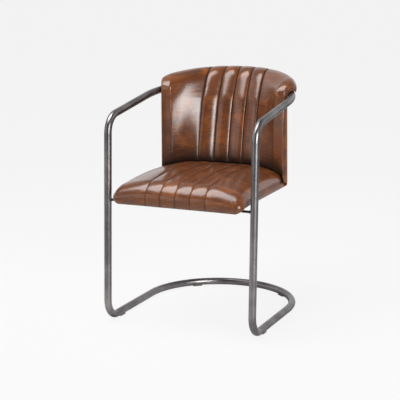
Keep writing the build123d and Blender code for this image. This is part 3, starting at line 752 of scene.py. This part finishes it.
def add(tree, kind, inputs, **settings):
    """Adds a node with its settings, its plain inputs and its links."""
    node = tree.nodes.new(kind)
    for name, value in settings.items():
        setattr(node, name, value)
    for socket, value in inputs.items():
        if isinstance(value, bpy.types.NodeSocket):
            tree.links.new(value, node.inputs[socket])
        else:
            node.inputs[socket].default_value = value
    return node


def new_material(name):
    material = bpy.data.materials.new(name)
    material.use_nodes = True
    tree = material.node_tree
    return material, tree, tree.nodes["Principled BSDF"]


def aged_brown_leather():
    """Waxed pull-up cowhide: browns shifting in clouds and streaks, a soft polished sheen, painted shade at
    seams and creases.
    """
    material, tree, shader = new_material("aged_brown_leather")
    place = add(tree, "ShaderNodeTexCoord", {})
    solid, hide = place.outputs["Object"], place.outputs["UV"]
    clouds = add(tree, "ShaderNodeTexNoise", {
        "Vector": solid, "Scale": per_metre(110), "Detail": 4.0, "Roughness": 0.6})
    patches = add(tree, "ShaderNodeTexNoise", {
        "Vector": solid, "Scale": per_metre(48), "Detail": 3.0, "Roughness": 0.55, "Distortion": 0.6})
    thin = add(tree, "ShaderNodeMapping", {"Vector": hide, "Scale": (1.0, 22.0, 1.0)})
    lines = add(tree, "ShaderNodeTexNoise", {
        "Vector": thin.outputs["Vector"], "Scale": per_metre(28), "Detail": 4.0, "Roughness": 0.75})
    wide = add(tree, "ShaderNodeMapping", {"Vector": hide, "Scale": (1.0, 14.0, 1.0)})
    streaks = add(tree, "ShaderNodeTexNoise", {
        "Vector": wide.outputs["Vector"], "Scale": per_metre(40), "Detail": 3.0, "Roughness": 0.65})

    # Each layer: its pattern, the levels where it starts and is full, its share there and its colour
    layers = ((clouds, 0.3, 0.7, 1.0, "#613314"), (patches, 0.5, 0.72, 0.8, "#7F4518"),
              (lines, 0.5, 0.7, 0.6, "#935527"), (streaks, 0.42, 0.68, 0.65, "#381A09"))
    tone = colour("#3F1E0B")
    for pattern, start, full, share, code in layers:
        mask = add(tree, "ShaderNodeMapRange", {
            "Value": pattern.outputs["Fac"], "From Min": start, "From Max": full, "To Max": share})
        mixed = add(tree, "ShaderNodeMix", {
            "Factor": mask.outputs["Result"], COLOUR_A: tone, COLOUR_B: colour(code)}, data_type="RGBA")
        tone = mixed.outputs[COLOUR_OUT]
    # Painted shade: the colour darkens towards near black in seam valleys and in the crease under the back
    shade = add(tree, "ShaderNodeAttribute", {}, attribute_name="shade").outputs["Fac"]
    shaded = add(tree, "ShaderNodeMix", {
        "Factor": shade, COLOUR_A: tone, COLOUR_B: colour("#0E0502")}, data_type="RGBA")
    tree.links.new(shaded.outputs[COLOUR_OUT], shader.inputs["Base Color"])

    # The grain is drawn coarser than on a real hide, so that it shows in the render
    grain = add(tree, "ShaderNodeTexVoronoi", {
        "Vector": solid, "Scale": per_metre(2.4)}, feature="SMOOTH_F1")
    creases = add(tree, "ShaderNodeTexNoise", {
        "Vector": solid, "Scale": per_metre(9), "Detail": 3.0, "Roughness": 0.6})
    height = add(tree, "ShaderNodeMath", {
        0: grain.outputs["Distance"], 1: 0.35, 2: creases.outputs["Fac"]}, operation="MULTIPLY_ADD")
    bump = add(tree, "ShaderNodeBump", {
        "Height": height.outputs["Value"], "Strength": 0.35, "Distance": 0.0006})
    tree.links.new(bump.outputs["Normal"], shader.inputs["Normal"])
    tree.links.new(bump.outputs["Normal"], shader.inputs["Coat Normal"])

    # Seams and creases are rougher and lose the polish
    gloss = add(tree, "ShaderNodeMapRange", {
        "Value": patches.outputs["Fac"], "From Min": 0.3, "From Max": 0.7, "To Min": 0.36, "To Max": 0.48})
    dull = add(tree, "ShaderNodeMath", {
        0: shade, 1: 0.35, 2: gloss.outputs["Result"]}, operation="MULTIPLY_ADD")
    polish = add(tree, "ShaderNodeMath", {0: shade, 1: -0.8, 2: 0.8}, operation="MULTIPLY_ADD")
    tree.links.new(dull.outputs["Value"], shader.inputs["Roughness"])
    tree.links.new(polish.outputs["Value"], shader.inputs["Coat Weight"])
    shader.inputs["Coat Roughness"].default_value = 0.19
    shader.inputs["Specular IOR Level"].default_value = 0.15
    return material


def lacquered_steel(name, base, light, roughness):
    """Drawn steel left raw or plated under clear lacquer: satin, with cloudy darker and lighter patches."""
    material, tree, shader = new_material(name)
    place = add(tree, "ShaderNodeTexCoord", {})
    solid = place.outputs["Object"]
    clouds = add(tree, "ShaderNodeTexNoise", {"Vector": solid, "Scale": per_metre(70), "Detail": 1.5})
    specks = add(tree, "ShaderNodeTexNoise", {"Vector": solid, "Scale": per_metre(12)})
    mask = add(tree, "ShaderNodeMapRange", {
        "Value": clouds.outputs["Fac"], "From Min": 0.35, "From Max": 0.68})
    tone = add(tree, "ShaderNodeMix", {
        "Factor": mask.outputs["Result"], COLOUR_A: colour(base), COLOUR_B: colour(light)},
        data_type="RGBA")
    gloss = add(tree, "ShaderNodeMapRange", {
        "Value": specks.outputs["Fac"], "From Min": 0.3, "From Max": 0.7,
        "To Min": roughness - STEEL_GLOSS_SPREAD, "To Max": roughness + STEEL_GLOSS_SPREAD})
    tree.links.new(tone.outputs[COLOUR_OUT], shader.inputs["Base Color"])
    tree.links.new(gloss.outputs["Result"], shader.inputs["Roughness"])
    shader.inputs["Metallic"].default_value = 1.0
    return material


def birch_plywood():
    """Rotary-cut birch ply: pale veneer with long soft figure."""
    material, tree, shader = new_material("birch_plywood")
    place = add(tree, "ShaderNodeTexCoord", {})
    along = add(tree, "ShaderNodeMapping", {"Vector": place.outputs["Object"], "Scale": (1.0, 0.08, 1.0)})
    figure = add(tree, "ShaderNodeTexNoise", {
        "Vector": along.outputs["Vector"], "Scale": per_metre(9), "Detail": 4.0, "Distortion": 0.4})
    tone = add(tree, "ShaderNodeMix", {
        "Factor": figure.outputs["Fac"], COLOUR_A: colour("#B58E5F"), COLOUR_B: colour("#DCBE92")},
        data_type="RGBA")
    tree.links.new(tone.outputs[COLOUR_OUT], shader.inputs["Base Color"])
    shader.inputs["Roughness"].default_value = 0.62
    return material


def moulded_nylon():
    """Grey moulded nylon: dull, close to the tube in tone, with a fine spark-eroded grain."""
    material, tree, shader = new_material("moulded_nylon")
    place = add(tree, "ShaderNodeTexCoord", {})
    # The grain is drawn coarser than a real mould's, so that it shows in the render
    grain = add(tree, "ShaderNodeTexNoise", {"Vector": place.outputs["Object"], "Scale": per_metre(1.2)})
    bump = add(tree, "ShaderNodeBump", {
        "Height": grain.outputs["Fac"], "Strength": 0.2, "Distance": 0.0002})
    tone = add(tree, "ShaderNodeMix", {
        "Factor": grain.outputs["Fac"], COLOUR_A: colour("#4C4C4E"), COLOUR_B: colour("#5C5C5E")},
        data_type="RGBA")
    tree.links.new(tone.outputs[COLOUR_OUT], shader.inputs["Base Color"])
    tree.links.new(bump.outputs["Normal"], shader.inputs["Normal"])
    shader.inputs["Roughness"].default_value = 0.5
    return material


def black_dust_cloth():
    """Spun-bonded dust cloth: black, matt, with the small embossed dots of its bonding."""
    material, tree, shader = new_material("black_dust_cloth")
    place = add(tree, "ShaderNodeTexCoord", {})
    # The dots are drawn coarser than real ones, so that they show in the render
    dots = add(tree, "ShaderNodeTexVoronoi", {
        "Vector": place.outputs["Object"], "Scale": per_metre(1.8), "Randomness": 0.0})
    bump = add(tree, "ShaderNodeBump", {
        "Height": dots.outputs["Distance"], "Strength": 0.4, "Distance": 0.0003})
    tone = add(tree, "ShaderNodeMix", {
        "Factor": dots.outputs["Distance"], COLOUR_A: colour("#0E0E0F"), COLOUR_B: colour("#1B1B1D")},
        data_type="RGBA")
    tree.links.new(tone.outputs[COLOUR_OUT], shader.inputs["Base Color"])
    tree.links.new(bump.outputs["Normal"], shader.inputs["Normal"])
    shader.inputs["Roughness"].default_value = 0.9
    return material


# Dust cloth, staples and hems

def dust_cloth_sheet():
    """Black cloth stapled flat under the board, hanging slightly in the middle of its span."""
    half_depth = (CLOTH_REAR - CLOTH_FRONT) / 2
    middle = (CLOTH_REAR + CLOTH_FRONT) / 2
    level = BOARD_BOTTOM - CLOTH / 2 - CLOTH_GAP
    bpy.ops.object.select_all(action="DESELECT")
    bpy.ops.mesh.primitive_grid_add(x_subdivisions=CLOTH_GRID[0], y_subdivisions=CLOTH_GRID[1], size=2)
    sheet = bpy.context.object
    sheet.name = "seat_dust_cloth"
    for vert in sheet.data.vertices:
        across, along = vert.co.x, vert.co.y
        sag = CLOTH_SAG * (1 - across ** 2) * (1 - along ** 2)
        vert.co = to_row(Vector((across * CLOTH_HALF, middle + along * half_depth, level - sag)))
    body = sheet.modifiers.new("body", "SOLIDIFY")
    body.thickness = CLOTH / 1000
    body.offset = 0
    return sheet


def block(size, place):
    """A small box at a place, with its edges eased when it is joined to its fellows."""
    bpy.ops.mesh.primitive_cube_add(size=1)
    made = bpy.context.object
    for vert in made.data.vertices:
        vert.co = to_row(Vector([place[n] + vert.co[n] * size[n] for n in range(3)]))
    return made


def joined(name, pieces, ease):
    """Joins pieces to one object whose edges are eased."""
    bpy.ops.object.select_all(action="DESELECT")
    for piece in pieces:
        piece.select_set(True)
    bpy.context.view_layer.objects.active = pieces[0]
    bpy.ops.object.join()
    whole = bpy.context.object
    whole.name = name
    edges = whole.modifiers.new("eased", "BEVEL")
    edges.width = ease / 1000
    edges.segments = 2
    return whole


def side_hem(side):
    """Strip of leather drawn under the edge of the board at one side."""
    size = (HEM_LAP + HEM_WRAP, HEM_REAR - HEM_FRONT, LEATHER)
    x = side * (BOARD_HALF + HEM_WRAP / 2 - HEM_LAP / 2)
    return block(size, (x, (HEM_FRONT + HEM_REAR) / 2, BOARD_BOTTOM - LEATHER / 2))


def staples():
    """Staples along the four edges of the dust cloth."""
    low = BOARD_BOTTOM - CLOTH - CLOTH_GAP - STAPLE[2] / 2
    front, rear = CLOTH_FRONT + STAPLE_INSET, CLOTH_REAR - STAPLE_INSET
    half = CLOTH_HALF - STAPLE_INSET
    turned = (STAPLE[1], STAPLE[0], STAPLE[2])
    across = int(half / STAPLE_PITCH)
    along = int((rear - front) / STAPLE_PITCH)
    made = []
    for n in range(-across, across + 1):
        for y in (front, rear):
            made.append(block(STAPLE, (n * STAPLE_PITCH, y, low)))
    for n in range(1, along):
        for side in (-1, 1):
            made.append(block(turned, (side * half, front + n * (rear - front) / along, low)))
    return joined("dust_cloth_staples", made, STAPLE_EASE)


# Floor, light and camera, with places and sizes in metres

def pale_floor():
    """A plain floor that the camera sees nearly evenly pale, with a faint contact shadow."""
    bpy.ops.object.select_all(action="DESELECT")
    bpy.ops.mesh.primitive_plane_add(size=FLOOR_SIZE)
    floor = bpy.context.object
    floor.name = "floor"
    material, tree, shader = new_material("pale_floor")
    shader.inputs["Base Color"].default_value = colour("#E2E2E2")
    shader.inputs["Roughness"].default_value = 0.9
    path = add(tree, "ShaderNodeLightPath", {})
    share = add(tree, "ShaderNodeMath", {
        0: path.outputs["Is Camera Ray"], 1: FLOOR_GLOW_SHARE}, operation="MULTIPLY")
    glow = add(tree, "ShaderNodeEmission", {"Color": colour("#F6F6F6"), "Strength": FLOOR_GLOW})
    mixed = add(tree, "ShaderNodeMixShader", {
        0: share.outputs["Value"], 1: shader.outputs["BSDF"], 2: glow.outputs["Emission"]})
    tree.links.new(mixed.outputs["Shader"], tree.nodes["Material Output"].inputs["Surface"])
    floor.data.materials.append(material)
    return floor


def surround():
    """A studio that is bright low down behind the chair, glows at its left and is dark in front."""
    world = bpy.data.worlds.new("studio")
    bpy.context.scene.world = world
    world.use_nodes = True
    tree = world.node_tree
    place = add(tree, "ShaderNodeTexCoord", {})
    way = add(tree, "ShaderNodeSeparateXYZ", {"Vector": place.outputs["Generated"]})
    behind = add(tree, "ShaderNodeMapRange", {
        "Value": way.outputs["Y"], "From Min": -0.2, "From Max": 0.4, "To Min": 0.04, "To Max": 1.1})
    low = add(tree, "ShaderNodeMapRange", {
        "Value": way.outputs["Z"], "From Min": 0.4, "From Max": 0.8, "To Min": 1.0, "To Max": 0.3})
    towards = add(tree, "ShaderNodeVectorMath", {
        0: place.outputs["Generated"], 1: LEFT_GLOW_WAY}, operation="DOT_PRODUCT")
    left = add(tree, "ShaderNodeMapRange", {
        "Value": towards.outputs["Value"], "From Min": 0.6, "From Max": 0.95, "To Min": 0.0, "To Max": 1.1})
    strength = add(tree, "ShaderNodeMath", {
        0: behind.outputs["Result"], 1: low.outputs["Result"], 2: left.outputs["Result"]},
        operation="MULTIPLY_ADD")
    sky = tree.nodes["Background"]
    sky.inputs["Color"].default_value = colour("#F0F0F2")
    tree.links.new(strength.outputs["Value"], sky.inputs["Strength"])
    path = add(tree, "ShaderNodeLightPath", {})
    backdrop = add(tree, "ShaderNodeBackground", {"Color": colour("#F6F6F6"), "Strength": 1.0})
    mixed = add(tree, "ShaderNodeMixShader", {
        0: path.outputs["Is Camera Ray"], 1: sky.outputs["Background"], 2: backdrop.outputs["Background"]})
    tree.links.new(mixed.outputs["Shader"], tree.nodes["World Output"].inputs["Surface"])


def softbox(name, place, aim, size, watts, spread=180):
    """A rectangular studio lamp that is aimed at a point, with its beam's spread in degrees."""
    lamp = bpy.data.lights.new(name, "AREA")
    lamp.shape = "RECTANGLE"
    lamp.size, lamp.size_y = size
    lamp.spread = math.radians(spread)
    lamp.energy = watts
    holder = bpy.data.objects.new(name, lamp)
    holder.location = place
    holder.rotation_euler = (Vector(aim) - Vector(place)).to_track_quat("-Z", "Y").to_euler()
    bpy.context.scene.collection.objects.link(holder)


def photo_camera():
    """Camera at the place and with the lens that the photo's view was solved for."""
    lens = bpy.data.cameras.new("camera")
    lens.sensor_width = CAMERA_SENSOR
    lens.lens = CAMERA_LENS
    lens.shift_x, lens.shift_y = CAMERA_SHIFT
    camera = bpy.data.objects.new("camera", lens)
    camera.location = CAMERA_PLACE
    aim = Vector(CAMERA_AIM) - Vector(CAMERA_PLACE)
    camera.rotation_euler = aim.to_track_quat("-Z", "Y").to_euler()
    bpy.context.scene.collection.objects.link(camera)
    bpy.context.scene.camera = camera


# Pieces that are modelled here

def finished(piece, slot, material, *nodes):
    """Gives a new piece its finish, hangs it on the root and hides the imported parts that it replaces."""
    piece.data.materials.append(material)
    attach(piece, "root")
    if nodes:
        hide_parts(*nodes)


def rounder(piece):
    """Rounds the facets of a lofted piece."""
    smooth = piece.modifiers.new("smooth", "SUBSURF")
    smooth.levels = 1
    smooth.render_levels = 1


leather = aged_brown_leather()
steel = lacquered_steel("lacquered_raw_steel", "#656162", "#858181", 0.32)
dark_steel = lacquered_steel("blackened_steel", "#2A292A", "#4A4949", 0.36)
zinc = lacquered_steel("zinc_plated_steel", "#8E9093", "#B4B6B8", 0.34)
plywood = birch_plywood()
nylon = moulded_nylon()
dust_cloth = black_dust_cloth()

STRIPS = [f"{strip}_{side}" for strip in ("inner_channel", "outer_channel", "side_panel", "border")
          for side in ("left", "right")]

seat = seat_cushion()
rounder(seat)
finished(seat, "leather", leather, "seat_foam", *[f"seat_{strip}" for strip in STRIPS])

back = back_cushion()
rounder(back)
finished(back, "leather", leather, "back_foam", *[f"back_{strip}" for strip in STRIPS])

cover = rear_cover()
rounder(cover)
finished(cover, "leather", leather, "back_outer_cover")

cloth = dust_cloth_sheet()
finished(cloth, "dust_cloth", dust_cloth, "seat_dust_cover")

pins = staples()
finished(pins, "zinc_steel", zinc)

hems = joined("seat_side_hems", [side_hem(-1), side_hem(1)], HEM_EASE)
finished(hems, "leather", leather)

# Finishes of the solids
finishes = {"steel_tube": steel, "zinc_steel": zinc, "plywood": plywood, "nylon": nylon,
            "dust_cloth": dust_cloth}
slots = {part["node"]: part["material_slot"] for part in frame["record"]["subparts"]}
for name, node in frame["nodes"].items():
    if slots[name] in finishes:
        node.data.materials.clear()
        node.data.materials.append(dark_steel if name == "seat_cross_rod" else finishes[slots[name]])

# Stage
floor = pale_floor()
surround()
softbox("overhead", place=(-0.7, -0.6, 2.65), aim=(0.0, 0.0, 0.5), size=(1.5, 1.8), watts=74)
softbox("window", place=(2.7, -2.0, 1.5), aim=(0.0, 0.1, 0.7), size=(1.5, 2.3), watts=28, spread=70)
softbox("fill", place=(-2.7, -3.9, 1.5), aim=(0.0, 0.1, 0.4), size=(3.4, 2.8), watts=36)
photo_camera()
bpy.context.scene.view_settings.view_transform = "Standard"
